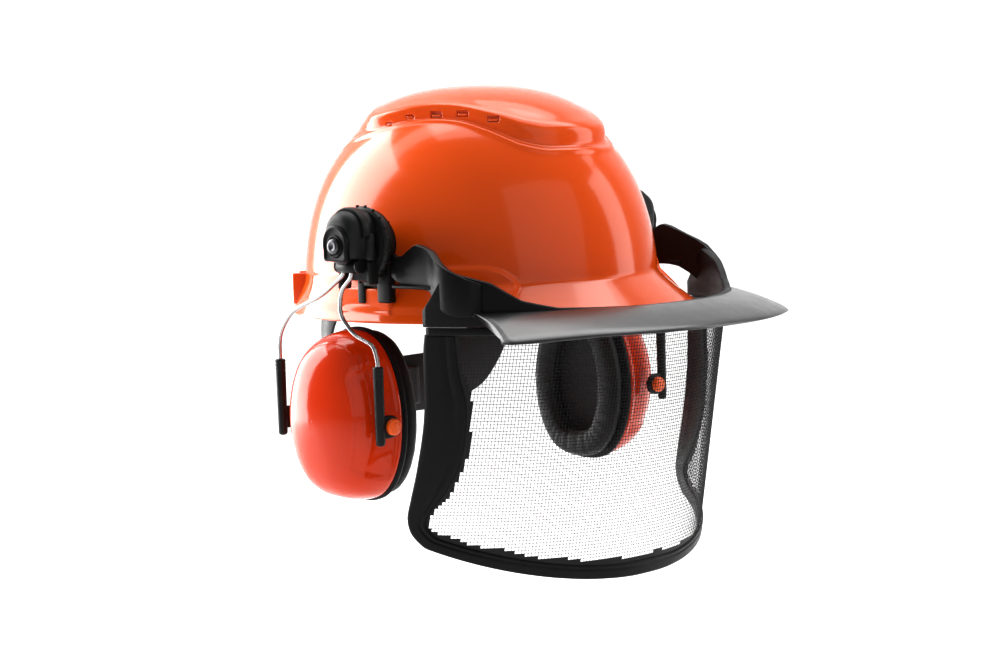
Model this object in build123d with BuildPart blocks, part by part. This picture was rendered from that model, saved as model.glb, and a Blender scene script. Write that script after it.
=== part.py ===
"""Forestry safety helmet: vented shell, head suspension, mesh visor with sun peak, and ear muffs.

All sizes are in millimetres.  -Y is the front of the helmet, +X is the wearer's left, +Z is up.
The origin is the centre of the head opening, on the level of the shell's lower edge.
"""
from build123d import *
import os
from math import sqrt, cos, sin, radians, pi

# ---- shell ----
dome_half_width = 97.5        # dome at its foot, side to side
dome_half_length = 122.0      # dome at its foot, front to back
dome_height = 131.0
dome_power = 2.5              # squareness of the dome's side view
wall = 2.6                    # shell wall thickness
brim_half_width = 109.0
brim_half_length = 141.0
brim_centre_y = -10.0
skirt_height = 19.0           # height at which the flared brim meets the dome
crest_rise = 6.0              # the raised centre panel above the dome
vent_length, vent_height = 11.0, 4.5

# ---- hub axis, common to the visor and the ear muff arms ----
hub_y, hub_z = -20.0, 46.0
shaft_radius = 5.0
running_gap = 0.05            # radial clearance of a shaft in its hole

# ---- ear muffs ----
cup_y, cup_z = 3.0, -56.5     # centre of the cup seen from the side
cup_half_width, cup_half_height = 39.5, 52.5
wire_radius = 1.3
sleeve_radius = 3.0
wire_x = 123.6
front_wire_y, rear_wire_y = -41.0, 47.0
pivot_x, pivot_z = 116.2, -59.0
sleeve_top, sleeve_bottom = -23.5, -69.5
button_radius = 4.8

# ---- visor ----
bow_centre_y = -43.0
bow_half_width, bow_half_length = 122.0, 123.0
visor_top, visor_bottom = 12.0, -156.0
mesh_top = -4.0               # the mesh and its side frame end here, under the bow
lower_radius, lower_centre_y = 130.0, -4.0
mesh_thickness = 0.8
peak_radius, peak_drop = 157.0, 11.0

# ---- head suspension ----
band_half_width, band_half_length = 79.0, 99.0
band_low, band_high = 7.0, 36.0
nape_y, nape_half_width, nape_reach = 40.0, 82.2, 60.0
nape_wall = 1.9
knob_z = -58.0

sides = {"right": -1, "left": 1}
os.makedirs("parts", exist_ok=True)


def save(part, name):
    """Label a finished piece and write its file."""
    part.label = name
    export_step(part, f"parts/{name}.step")


def dome(half_width, half_length, height, power=dome_power, steps=6):
    """A solid dome lofted through level ellipses, closed by a small flat at the very top."""
    with BuildPart() as body:
        for i in range(steps + 1):
            z = 0.999 * height * sin(pi / 2 * i / steps)
            size = (1 - (z / height) ** power) ** (1 / power)
            with BuildSketch(Plane.XY.offset(z)):
                Ellipse(half_width * size, half_length * size)
        loft()
    return body.part


def raised_panel(rise, inset):
    """The long raised panel on top of the dome, standing up by rise, its outline moved in by inset."""
    outline = ((0, -94), (26, -88), (41, -71), (50, -34), (60, 20), (54, 56), (34, 88))
    right = [(max(x - inset, 0), y + inset * (1 if y < 0 else -1)) for x, y in outline]
    left = [(-x, y) for x, y in reversed(right[1:])]
    with BuildPart() as body:
        add(dome(dome_half_width + rise, dome_half_length + rise, dome_height + rise))
        with BuildSketch(Plane.XY.offset(60)):
            with BuildLine():
                Spline(*right, (0, 100 - inset), *left, periodic=True)
            make_face()
        extrude(amount=100, mode=Mode.INTERSECT)
    return body.part


def egg(width, height):
    """Closed cup outline, taller than wide and fullest just below its middle."""
    shape = [(0, 1), (0.60, 0.82), (0.96, 0.24), (0.95, -0.38), (0.58, -0.86),
             (0, -1), (-0.58, -0.86), (-0.95, -0.38), (-0.96, 0.24), (-0.60, 0.82)]
    return Spline(*[(cup_y + y * width, cup_z + z * height) for y, z in shape], periodic=True)


def egg_solid(sections):
    """Loft through egg outlines given as (x, half width, half height)."""
    with BuildPart() as body:
        for x, width, height in sections:
            with BuildSketch(Plane.YZ.offset(x)):
                with BuildLine():
                    egg(width, height)
                make_face()
        loft()
    return body.part


def visor_shell(inset):
    """The curved volume inside the visor surface, moved inwards by inset."""
    with BuildPart() as body:
        with BuildSketch(Plane.XY.offset(visor_top)):
            with Locations((0, bow_centre_y)):
                Ellipse(bow_half_width - inset, bow_half_length - inset)
        with BuildSketch(Plane.XY.offset(visor_bottom)):
            with Locations((0, lower_centre_y)):
                Circle(lower_radius - inset)
        loft()
    return body.part


# ================= helmet shell =================
with BuildPart() as shell:
    add(dome(dome_half_width, dome_half_length, dome_height))
    # flared brim, longer at the front
    with BuildSketch(Plane.XY):
        with Locations((0, brim_centre_y)):
            Ellipse(brim_half_width, brim_half_length)
    with BuildSketch(Plane.XY.offset(skirt_height)):
        Ellipse(dome_half_width - 0.4, dome_half_length - 0.4)
    loft()
    add(raised_panel(crest_rise, 0))
    # hollow the dome and the brim
    add(dome(dome_half_width - wall, dome_half_length - wall, dome_height - wall), mode=Mode.SUBTRACT)
    add(raised_panel(crest_rise - wall, 3), mode=Mode.SUBTRACT)
    with BuildSketch(Plane.XY.offset(-0.01)):
        with Locations((0, brim_centre_y)):
            Ellipse(brim_half_width - wall, brim_half_length - wall)
    with BuildSketch(Plane.XY.offset(skirt_height - 1)):
        Ellipse(dome_half_width - wall - 0.4, dome_half_length - wall - 0.4)
    loft(mode=Mode.SUBTRACT)
    # accessory slot boss low on each side, with a pocket open at the top for the adapter's tongue
    for s in (-1, 1):
        with Locations((s * 99.75, -9, 11.5)):
            Box(9.5, 46, 17)
        with Locations((s * 101.3, -20, 14)):
            Box(3.4, 20.6, 14, mode=Mode.SUBTRACT)
    # rain gutter step round the back of the brim
    with BuildSketch(Plane.XY.offset(3)):
        with Locations((0, brim_centre_y)):
            Ellipse(brim_half_width + 0.8, brim_half_length - 2)
            Ellipse(brim_half_width - 1.2, brim_half_length - 4, mode=Mode.SUBTRACT)
        with Locations((0, 110)):
            Rectangle(240, 100, mode=Mode.INTERSECT)
    extrude(amount=6)
    # ventilation slots through both sides of the raised panel
    for s in (-1, 1):
        for x, y, z, turn in ((62, 12, 113, 2), (59.5, -4, 114, -6), (55, -22, 115, -10),
                              (50.5, -40, 113, -12), (46, -58, 108.5, -14)):
            with Locations(Location((s * x, y, z), (0, s * 38, s * turn))):
                Box(26, vent_length, vent_height, mode=Mode.SUBTRACT)
save(shell.part, "shell")

# ================= head suspension =================
with BuildPart() as headband:
    with BuildSketch(Plane.XY.offset(band_low)):
        Ellipse(band_half_width, band_half_length)
        Ellipse(band_half_width - 1.8, band_half_length - 1.8, mode=Mode.SUBTRACT)
        with Locations((0, -40)):
            Rectangle(180, 140, mode=Mode.INTERSECT)
    extrude(amount=band_high - band_low)
save(headband.part, "headband")

with BuildPart() as sweatband:
    with BuildSketch(Plane.XY.offset(band_low - 2)):
        Ellipse(band_half_width - 2.2, band_half_length - 2.2)
        Ellipse(band_half_width - 5.4, band_half_length - 5.4, mode=Mode.SUBTRACT)
        with Locations((0, -70)):
            Rectangle(180, 80, mode=Mode.INTERSECT)
    extrude(amount=band_high - band_low + 1)
save(sweatband.part, "sweatband")


def strap(name, turn, reach, top):
    """A webbing strap arched over the head, with its ends level with the headband."""
    with BuildPart() as band:
        plane = Plane(origin=(0, 0, 30), x_dir=(cos(radians(turn)), sin(radians(turn)), 0),
                      z_dir=(sin(radians(turn)), -cos(radians(turn)), 0))
        with BuildSketch(plane):
            Ellipse(reach, top - 30)
            Ellipse(reach - 1.2, top - 31.2, mode=Mode.SUBTRACT)
            with Locations((0, 60)):
                Rectangle(2 * reach + 10, 120, mode=Mode.INTERSECT)
        extrude(amount=10, both=True)
    save(band.part, name)


strap("crown_strap_long", 90, 103, 106)
strap("crown_strap_cross_a", 32, 86.5, 104)
strap("crown_strap_cross_b", -32, 86.5, 102)

# six hanger clips, one outside each strap end
with BuildPart() as clips:
    for turn, reach in ((90, 105), (270, 105), (32, 88.5), (212, 88.5), (-32, 88.5), (148, 88.5)):
        with Locations(Location((reach * cos(radians(turn)), reach * sin(radians(turn)), 38), (0, 0, turn))):
            Box(3, 22, 22)
save(clips.part, "suspension_clips")

with BuildPart() as crown_pad:
    with BuildSketch(Plane.XY.offset(88)):
        RectangleRounded(44, 60, 14)
    extrude(amount=4)
    fillet(crown_pad.faces().sort_by(Axis.Z)[-1].edges(), 1.5)
save(crown_pad.part, "crown_pad")


def nape_wall_solid(inset, thickness):
    """A wall that runs back along both sides and round the nape."""
    wide, deep = nape_half_width - inset, nape_reach - inset
    wide_in, deep_in = wide - thickness, deep - thickness
    with BuildPart() as body:
        with BuildSketch(Plane.XY.offset(-90)):
            with BuildLine():
                Line((wide, -12), (wide, nape_y))
                EllipticalCenterArc((0, nape_y), wide, deep, 0, arc_size=180)
                Polyline((-wide, nape_y), (-wide, -12), (-wide_in, -12), (-wide_in, nape_y))
                EllipticalCenterArc((0, nape_y), wide_in, deep_in, 0, arc_size=180)
                Polyline((wide_in, nape_y), (wide_in, -12), (wide, -12))
            make_face()
        extrude(amount=130)
    return body.part


with BuildPart() as nape_band:
    add(nape_wall_solid(0, nape_wall))
    # side view: low and wide behind, rising to narrow tails beside the head
    with BuildSketch(Plane.YZ.offset(-100)):
        with BuildLine():
            Spline((101, -77), (88, -75), (70, -60), (58, -38), (50, -14), (38, 4), (10, 12), (-14, 13))
            Line((-14, 13), (-14, 27))
            Spline((-14, 27), (20, 27), (48, 18), (66, -6), (80, -26), (90, -37), (101, -39))
            Line((101, -39), (101, -77))
        make_face()
    extrude(amount=200, mode=Mode.INTERSECT)
save(nape_band.part, "nape_band")

with BuildPart() as nape_pad:
    add(nape_wall_solid(nape_wall + 0.4, 3.2))
    with Locations((0, 96, -58)):
        Box(64, 40, 26, mode=Mode.INTERSECT)
save(nape_pad.part, "nape_pad")

with BuildPart() as ratchet_housing:
    with Locations((0, 106.2, knob_z)):
        Box(62, 10.8, 30)
    fillet(ratchet_housing.edges().filter_by(Axis.Y), 9)
    with Locations(Location((0, 106, knob_z), (90, 0, 0))):
        Cylinder(4 + running_gap, 20, mode=Mode.SUBTRACT)
save(ratchet_housing.part, "ratchet_housing")

with BuildPart() as ratchet_knob:
    with Locations(Location((0, 117.2, knob_z), (90, 0, 0))):
        Cylinder(14, 10.4)
    fillet(ratchet_knob.faces().sort_by(Axis.Y)[-1].edges(), 2.5)
    with Locations(Location((0, 107, knob_z), (90, 0, 0))):
        Cylinder(4, 12)
    for i in range(18):
        with Locations(Location((14.2 * cos(radians(20 * i)), 116.2, knob_z + 14.2 * sin(radians(20 * i))),
                                (90, 0, 0))):
            Cylinder(1.1, 9, mode=Mode.SUBTRACT)
save(ratchet_knob.part, "ratchet_knob")

# ================= adapters and hubs, one set each side =================
for side, s in sides.items():
    with BuildPart() as adapter:
        with Locations((s * 101.3, hub_y, 34)):
            Box(2.8, 20, 52)
        with Locations((s * 101.3, hub_y, hub_z)):
            with Locations(Location((0, 0, 0), (0, 90, 0))):
                Cylinder(15, 2.8)
        with Locations(Location((s * 118.5, hub_y, hub_z), (0, 90, 0))):
            Cylinder(shaft_radius, 33)
    save(adapter.part, f"adapter_{side}")

    with BuildPart() as hub_spacer:
        with Locations(Location((s * 104.3, hub_y, hub_z), (0, 90, 0))):
            Cylinder(17, 2.4)
            Cylinder(shaft_radius + 0.3, 2.4, mode=Mode.SUBTRACT)
    save(hub_spacer.part, f"hub_spacer_{side}")

    # round cap of the visor pivot, outside the carrier arm
    with BuildPart() as visor_hub:
        with Locations(Location((s * 112.9, hub_y, hub_z), (0, 90, 0))):
            Cylinder(22, 3.4)
            Cylinder(shaft_radius + running_gap, 3.4, mode=Mode.SUBTRACT)
        fillet(visor_hub.faces().sort_by(Axis.X)[-1 if s > 0 else 0].edges().sort_by(SortBy.LENGTH)[-1], 1.5)
    save(visor_hub.part, f"visor_hub_{side}")

    # rounded holder that carries the ear muff's spring wires
    with BuildPart() as arm_hub:
        with BuildSketch(Plane.YZ.offset(s * 115.0)):
            with Locations((hub_y, 50)):
                RectangleRounded(27, 33, 12)
        extrude(amount=s * 18)
        fillet(arm_hub.faces().sort_by(Axis.X)[-1 if s > 0 else 0].edges(), 5)
        with Locations(Location((s * 124, hub_y, hub_z), (0, 90, 0))):
            Cylinder(shaft_radius + running_gap, 40, mode=Mode.SUBTRACT)
        with Locations((s * wire_x, hub_y, 33.5)):
            Box(12, 21.4, 9.5, mode=Mode.SUBTRACT)
    save(arm_hub.part, f"arm_hub_{side}")

    with BuildPart() as badge:
        with BuildSketch(Plane.YZ.offset(s * 133.3)):
            with Locations((hub_y, hub_z)):
                Circle(10.5)
                Circle(5.3, mode=Mode.SUBTRACT)
            with Locations((hub_y, hub_z - 2)):
                Rectangle(30, 19, mode=Mode.INTERSECT)
        extrude(amount=s * 2.0)
    save(badge.part, f"hub_badge_{side}")

    with BuildPart() as screw:
        with Locations(Location((s * 136.2, hub_y, hub_z), (0, 90, 0))):
            Cylinder(4.6, 2)
        with Locations((s * 137.2, hub_y, hub_z)):
            Box(1.4, 6.4, 1.1, mode=Mode.SUBTRACT)
            Box(1.4, 1.1, 6.4, mode=Mode.SUBTRACT)
    save(screw.part, f"hub_screw_{side}")

    # ---- ear muff: hinge barrel, spring wires, sleeves and pivot buttons ----
    with BuildPart() as knuckle:
        with Locations(Location((s * wire_x, hub_y, 34.0), (90, 0, 0))):
            Cylinder(4.2, 20.4)
    save(knuckle.part, f"arm_knuckle_{side}")

    with BuildPart() as wires:
        # each leg leaves the barrel, clears the brim's edge and ends straight inside its sleeve
        for points, radii in (([(-23, 29.0), (-11, 19), (-9.5, 5), (-21, -6), (-38, -11.5),
                                (front_wire_y, -20), (front_wire_y, -66)], [6, 7, 8, 5, 5]),
                              ([(-15, 29.0), (6, 16), (35, 5.5), (rear_wire_y, -9),
                                (rear_wire_y, -66)], [14, 12, 8])):
            with BuildLine(Plane.YZ.offset(s * wire_x)) as path:
                FilletPolyline(*points, radius=radii)
            with BuildSketch(Plane(origin=path.line @ 0, z_dir=path.line % 0)):
                Circle(wire_radius)
            sweep(path=path.line)
    save(wires.part, f"spring_wires_{side}")

    for end, foot_y, inward in (("front", front_wire_y, 1), ("rear", rear_wire_y, -1)):
        with BuildPart() as sleeve:
            with Locations((s * wire_x, foot_y, (sleeve_top + sleeve_bottom) / 2)):
                Cylinder(sleeve_radius, sleeve_top - sleeve_bottom)
            with Locations((s * (pivot_x + 1.2), foot_y, pivot_z)):
                Box(9, 3.4, 12)
            with Locations(Location((s * pivot_x, foot_y, pivot_z), (90, 0, 0))):
                Cylinder(6.6, 3.4)
                Cylinder(2.2, 3.4, mode=Mode.SUBTRACT)
            with Locations((s * wire_x, foot_y, -45)):
                Cylinder(wire_radius + running_gap, 43.2, mode=Mode.SUBTRACT)
        save(sleeve.part, f"sleeve_{end}_{side}")

    with BuildPart() as buttons:
        for foot_y, out in ((front_wire_y, -1), (rear_wire_y, 1)):
            with Locations(Location((s * pivot_x, foot_y + out * 3.8, pivot_z), (90, 0, 0))):
                Cylinder(button_radius, 3.4)
            with Locations(Location((s * pivot_x, foot_y - out * 1.8, pivot_z), (90, 0, 0))):
                Cylinder(1.9, 8.2)
    save(buttons.part, f"pivot_buttons_{side}")

    # ---- ear muff: cup, backplate, cushion and foam ----
    with BuildPart() as cup:
        add(egg_solid([(s * 100.6, cup_half_width - 2, cup_half_height - 0.5),
                       (s * 112, cup_half_width - 3.2, cup_half_height - 1.5),
                       (s * 126, cup_half_width - 7, cup_half_height - 6),
                       (s * 137, cup_half_width - 16, cup_half_height - 16)]))
        add(egg_solid([(s * 100.5, cup_half_width - 4.4, cup_half_height - 2.9),
                       (s * 112, cup_half_width - 5.6, cup_half_height - 4),
                       (s * 124, cup_half_width - 9.6, cup_half_height - 8.6),
                       (s * 134, cup_half_width - 17.5, cup_half_height - 17.5)]), mode=Mode.SUBTRACT)
        with Locations(Location((s * pivot_x, cup_y, pivot_z), (90, 0, 0))):
            Cylinder(1.9 + running_gap, 120, mode=Mode.SUBTRACT)
    save(cup.part, f"cup_shell_{side}")

    with BuildPart() as backplate:
        for width, height, mode in ((cup_half_width - 0.6, cup_half_height, Mode.ADD),
                                    (24, 36, Mode.SUBTRACT)):
            with BuildSketch(Plane.YZ.offset(s * 96.3)):
                with BuildLine():
                    egg(width, height)
                make_face()
            extrude(amount=s * 4.0, mode=mode)
    save(backplate.part, f"backplate_{side}")

    with BuildPart() as cushion:
        for width, height, mode in ((cup_half_width - 3, cup_half_height - 2.5, Mode.ADD),
                                    (20, 32, Mode.SUBTRACT)):
            with BuildSketch(Plane.YZ.offset(s * 84.5)):
                with BuildLine():
                    egg(width, height)
                make_face()
            extrude(amount=s * 11.5, mode=mode)
        fillet(cushion.faces().sort_by(Axis.X)[0 if s > 0 else -1].edges(), 5)
    save(cushion.part, f"cushion_{side}")

    with BuildPart() as foam:
        with BuildSketch(Plane.YZ.offset(s * 101.2)):
            with BuildLine():
                egg(29, 40)
            make_face()
        extrude(amount=s * 9)
    save(foam.part, f"cup_foam_{side}")

# ================= visor =================
# side view of the mesh area and of the frame that binds it
frame_rear = [(-74, mesh_top), (-72.5, -16), (-71, -50), (-65, -80), (-59, -102), (-57, -111),
              (-59, -120), (-66, -128)]
mesh_rear = [(-92, mesh_top), (-92.5, -25), (-95, -46), (-90, -76), (-80, -95), (-70, -108),
             (-68, -115), (-73, -121.5)]


def side_window(rear, low_front):
    """A block in front of a rear edge and above a lower edge, both drawn in side view."""
    with BuildPart() as block:
        with BuildSketch(Plane.YZ.offset(-140)):
            with BuildLine():
                Spline(*rear)
                Line(rear[-1], low_front)
                Line(low_front, (-190, low_front[1]))
                Line((-190, low_front[1]), (-190, mesh_top))
                Line((-190, mesh_top), rear[0])
            make_face()
        extrude(amount=280)
    return block.part


with BuildPart() as visor_mesh:
    add(visor_shell(1.2))
    add(visor_shell(1.2 + mesh_thickness), mode=Mode.SUBTRACT)
    add(side_window([(y - 0.3, z) for y, z in mesh_rear], (-134, -143.7)), mode=Mode.INTERSECT)
save(visor_mesh.part, "visor_mesh")

with BuildPart() as visor_frame:
    add(visor_shell(0))
    add(visor_shell(3.2), mode=Mode.SUBTRACT)
    add(side_window(frame_rear, (-134, -153)), mode=Mode.INTERSECT)
    add(side_window(mesh_rear, (-134, -144)), mode=Mode.SUBTRACT)
save(visor_frame.part, "visor_frame")

# clamp strip that holds the mesh's top edge under the bow
with BuildPart() as mesh_clamp:
    with BuildSketch(Plane.XY.offset(-3.6)):
        with Locations((0, bow_centre_y)):
            Ellipse(bow_half_width, bow_half_length)
            Ellipse(bow_half_width - 3.4, bow_half_length - 3.4, mode=Mode.SUBTRACT)
        with Locations((0, -174.5)):
            Rectangle(300, 200, mode=Mode.INTERSECT)
    extrude(amount=3.2)
save(mesh_clamp.part, "mesh_clamp")

# carrier: two pivot arms joined by a bow round the front of the brim
with BuildPart() as carrier:
    with BuildSketch(Plane.XY):
        with Locations((0, bow_centre_y)):
            Ellipse(bow_half_width, bow_half_length)
            Ellipse(bow_half_width - 4.5, bow_half_length - 4.5, mode=Mode.SUBTRACT)
        with Locations((0, -174)):
            Rectangle(300, 200, mode=Mode.INTERSECT)
    extrude(amount=34)
    with BuildSketch(Plane.YZ.offset(-140)):
        with BuildLine():
            Spline((-70, 33), (-92, 32), (-112, 25), (-126, 14), (-140, 9.5), (-170, 8.5))
            Line((-170, 8.5), (-170, 0))
            Line((-170, 0), (-70, 0))
            Line((-70, 0), (-70, 33))
        make_face()
    extrude(amount=280, mode=Mode.INTERSECT)
    for s in (-1, 1):
        with BuildSketch(Plane.YZ.offset(s * 105.8)):
            with Locations((hub_y, hub_z)):
                Circle(20)
            with BuildLine():
                Spline((-34, 46), (-46, 34), (-56, 44), (-66, 46), (-82, 39), (-92, 32), (-100, 24))
                Line((-100, 24), (-100, 6))
                Line((-100, 6), (-88, 6))
                Spline((-88, 6), (-76, 18), (-58, 21), (-34, 26))
                Line((-34, 26), (-34, 46))
            make_face()
            with Locations((hub_y, hub_z)):
                Circle(shaft_radius + running_gap, mode=Mode.SUBTRACT)
        extrude(amount=s * 5.1)
save(carrier.part, "visor_carrier")

with BuildPart() as sun_peak:
    with BuildSketch(Plane.XZ.offset(-bow_centre_y)):
        with BuildLine():
            Polyline((122.6, 7.6), (peak_radius, 7.6 - peak_drop), (peak_radius, 6.0 - peak_drop),
                     (122.6, 5.4), close=True)
        make_face()
    revolve(axis=Axis((0, bow_centre_y, 0), (0, 0, 1)))
    with BuildSketch(Plane.XY.offset(-30)):
        with BuildLine():
            Polyline((-112, -101.5), (-116, -114), (-122, -143), (-150, -230), (150, -230), (122, -143),
                     (116, -114), (112, -101.5), close=True)
        make_face()
    extrude(amount=60, mode=Mode.INTERSECT)
    with BuildSketch(Plane.XY.offset(-30)):
        with Locations((0, bow_centre_y)):
            Ellipse(bow_half_width + 0.3, bow_half_length + 0.3)
    extrude(amount=60, mode=Mode.SUBTRACT)
save(sun_peak.part, "sun_peak")

# rivets that hold the mesh, clamp and bow together
with BuildPart() as rivets:
    for turn in (-52, -32, -11, 11, 32, 52):
        x = (bow_half_width + 2.0) * sin(radians(turn))
        y = bow_centre_y - (bow_half_length + 2.0) * cos(radians(turn))
        with Locations(Location((x, y, 2.4), (90, 0, turn))):
            Cylinder(1.9, 1.4)
save(rivets.part, "carrier_rivets")
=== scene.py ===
import bpy, bmesh, math
import numpy as np
from mathutils import Vector, Matrix


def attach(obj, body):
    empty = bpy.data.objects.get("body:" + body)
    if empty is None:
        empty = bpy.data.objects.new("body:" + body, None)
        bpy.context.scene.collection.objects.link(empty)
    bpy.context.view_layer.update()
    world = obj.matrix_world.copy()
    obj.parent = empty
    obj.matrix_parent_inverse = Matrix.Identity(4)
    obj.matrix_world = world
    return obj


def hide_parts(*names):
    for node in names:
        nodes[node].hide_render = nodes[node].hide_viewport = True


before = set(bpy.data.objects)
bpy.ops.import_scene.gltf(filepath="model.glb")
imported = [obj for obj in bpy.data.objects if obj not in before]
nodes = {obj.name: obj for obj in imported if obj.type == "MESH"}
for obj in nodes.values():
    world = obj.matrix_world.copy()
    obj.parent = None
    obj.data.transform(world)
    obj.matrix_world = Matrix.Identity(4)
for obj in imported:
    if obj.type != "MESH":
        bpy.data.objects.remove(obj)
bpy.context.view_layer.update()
MM = 0.001
SIDES = {"right": -1, "left": 1}


# ------------------------------------------------------------------ materials
def material(name, color, rough, vary=0.08, grain=0.0, grain_scale=900.0, wear=0.06, metal=0.0,
             coat=0.0, coat_rough=0.06, spec=0.5, sheen=0.0, sss=0.0, cloth=0.0, weave=None):
    """Procedural material: mottled colour, uneven roughness and a fine bump, all in object space."""
    m = bpy.data.materials.new(name)
    m.use_nodes = True
    nt = m.node_tree
    n, l = nt.nodes, nt.links
    b = n["Principled BSDF"]
    tc = n.new("ShaderNodeTexCoord")
    b.inputs["Metallic"].default_value = metal
    b.inputs["Specular IOR Level"].default_value = spec
    b.inputs["Coat Weight"].default_value = coat
    b.inputs["Coat Roughness"].default_value = coat_rough
    b.inputs["Sheen Weight"].default_value = sheen
    b.inputs["Sheen Roughness"].default_value = 0.45
    if sss:
        b.inputs["Subsurface Weight"].default_value = sss
        b.inputs["Subsurface Radius"].default_value = (0.004, 0.0012, 0.0004)
        b.inputs["Subsurface Scale"].default_value = 0.5
    mott = n.new("ShaderNodeTexNoise")
    mott.inputs["Scale"].default_value = 14.0
    mott.inputs["Detail"].default_value = 5.0
    l.new(tc.outputs["Object"], mott.inputs["Vector"])
    mix = n.new("ShaderNodeMix")
    mix.data_type = "RGBA"
    dark = [c * (1 - vary) for c in color]
    light = [min(1.0, c * (1 + vary) + 0.004 * vary) for c in color]
    mix.inputs["A"].default_value = (*dark, 1)
    mix.inputs["B"].default_value = (*light, 1)
    l.new(mott.outputs["Fac"], mix.inputs["Factor"])
    l.new(mix.outputs["Result"], b.inputs["Base Color"])
    # fine rubbed marks change the roughness
    marks = n.new("ShaderNodeTexNoise")
    marks.inputs["Scale"].default_value = 95.0
    marks.inputs["Detail"].default_value = 8.0
    marks.inputs["Roughness"].default_value = 0.7
    stretch = n.new("ShaderNodeMapping")
    stretch.inputs["Scale"].default_value = (1.0, 0.35, 2.2)
    l.new(tc.outputs["Object"], stretch.inputs["Vector"])
    l.new(stretch.outputs["Vector"], marks.inputs["Vector"])
    mr = n.new("ShaderNodeMapRange")
    mr.inputs["From Min"].default_value = 0.3
    mr.inputs["From Max"].default_value = 0.75
    mr.inputs["To Min"].default_value = max(0.02, rough - wear * 0.5)
    mr.inputs["To Max"].default_value = min(1.0, rough + wear)
    l.new(marks.outputs["Fac"], mr.inputs["Value"])
    l.new(mr.outputs["Result"], b.inputs["Roughness"])
    height = None
    if weave:
        pitch, warp_dir, weft_dir = weave
        waves = []
        for d in (warp_dir, weft_dir):
            dot = n.new("ShaderNodeVectorMath")
            dot.operation = "DOT_PRODUCT"
            dot.inputs[1].default_value = [v * 2 * math.pi / pitch for v in d]
            l.new(tc.outputs["Object"], dot.inputs[0])
            s = n.new("ShaderNodeMath")
            s.operation = "SINE"
            l.new(dot.outputs["Value"], s.inputs[0])
            waves.append(s)
        prod = n.new("ShaderNodeMath")
        prod.operation = "MULTIPLY"
        l.new(waves[0].outputs[0], prod.inputs[0])
        l.new(waves[1].outputs[0], prod.inputs[1])
        height = prod.outputs[0]
    elif grain:
        g = n.new("ShaderNodeTexVoronoi" if cloth else "ShaderNodeTexNoise")
        g.inputs["Scale"].default_value = grain_scale
        if not cloth:
            g.inputs["Detail"].default_value = 4.0
        l.new(tc.outputs["Object"], g.inputs["Vector"])
        height = g.outputs["Distance" if cloth else "Fac"]
    if height is not None:
        bump = n.new("ShaderNodeBump")
        bump.inputs["Strength"].default_value = grain
        bump.inputs["Distance"].default_value = 0.0004
        l.new(height, bump.inputs["Height"])
        l.new(bump.outputs["Normal"], b.inputs["Normal"])
    return m


M = {
    "shell_orange": material("shell_orange", (0.80, 0.100, 0.006), 0.16, vary=0.05, grain=0.05,
                             grain_scale=420, wear=0.07, coat=0.25, coat_rough=0.04, spec=0.30),
    "cup_orange": material("cup_orange", (0.64, 0.042, 0.002), 0.12, vary=0.05, grain=0.05,
                           grain_scale=420, wear=0.06, coat=0.30, coat_rough=0.04, spec=0.22),
    "button_orange": material("button_orange", (0.90, 0.13, 0.008), 0.32, vary=0.05, grain=0.1,
                              grain_scale=1500),
    "black_plastic": material("black_plastic", (0.006, 0.006, 0.0063), 0.36, vary=0.25, grain=0.22,
                              grain_scale=2200, wear=0.14, spec=0.18),
    "hub_black": material("hub_black", (0.010, 0.011, 0.0105), 0.40, vary=0.25, grain=0.3, grain_scale=2600,
                          wear=0.14, spec=0.26),
    "peak_black": material("peak_black", (0.009, 0.009, 0.0097), 0.33, vary=0.15, grain=0.08,
                           grain_scale=1500, wear=0.08, spec=0.55, coat=0.6, coat_rough=0.24),
    "mesh_black": material("mesh_black", (0.006, 0.006, 0.006), 0.42, vary=0.2, grain=0.1, grain_scale=3000,
                           spec=0.3),
    "sleeve_black": material("sleeve_black", (0.006, 0.006, 0.006), 0.44, vary=0.3, grain=0.25,
                             grain_scale=1800, wear=0.16, spec=0.3),
    "cushion_black": material("cushion_black", (0.008, 0.008, 0.0083), 0.42, vary=0.3, grain=0.35,
                              grain_scale=1500, wear=0.14, cloth=1, sheen=0.04, spec=0.24),
    "foam_grey": material("foam_grey", (0.045, 0.045, 0.048), 0.95, vary=0.35, grain=1.0, grain_scale=900,
                          cloth=1),
    "webbing": material("webbing", (0.030, 0.030, 0.034), 0.85, vary=0.3, grain=0.9, sheen=0.3,
                        weave=(0.0016, (0.7071, 0.7071, 0.3), (-0.7071, 0.7071, 0.3))),
    "band_plastic": material("band_plastic", (0.018, 0.018, 0.02), 0.42, vary=0.25, grain=0.25,
                             grain_scale=2000, wear=0.14),
    "sweat_pad": material("sweat_pad", (0.040, 0.040, 0.043), 0.9, vary=0.3, grain=0.8, grain_scale=700,
                          cloth=1, sheen=0.4),
    "wire_steel": material("wire_steel", (0.42, 0.41, 0.41), 0.22, vary=0.06, grain=0.2, grain_scale=1800,
                           wear=0.12, metal=1.0),
    "screw_steel": material("screw_steel", (0.10, 0.10, 0.105), 0.30, vary=0.2, grain=0.2, grain_scale=1800,
                            wear=0.2, metal=1.0),
}


def dress(obj, slot_name, mat=None):
    obj.data.materials.clear()
    obj.data.materials.append(M[mat or slot_name])


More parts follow.
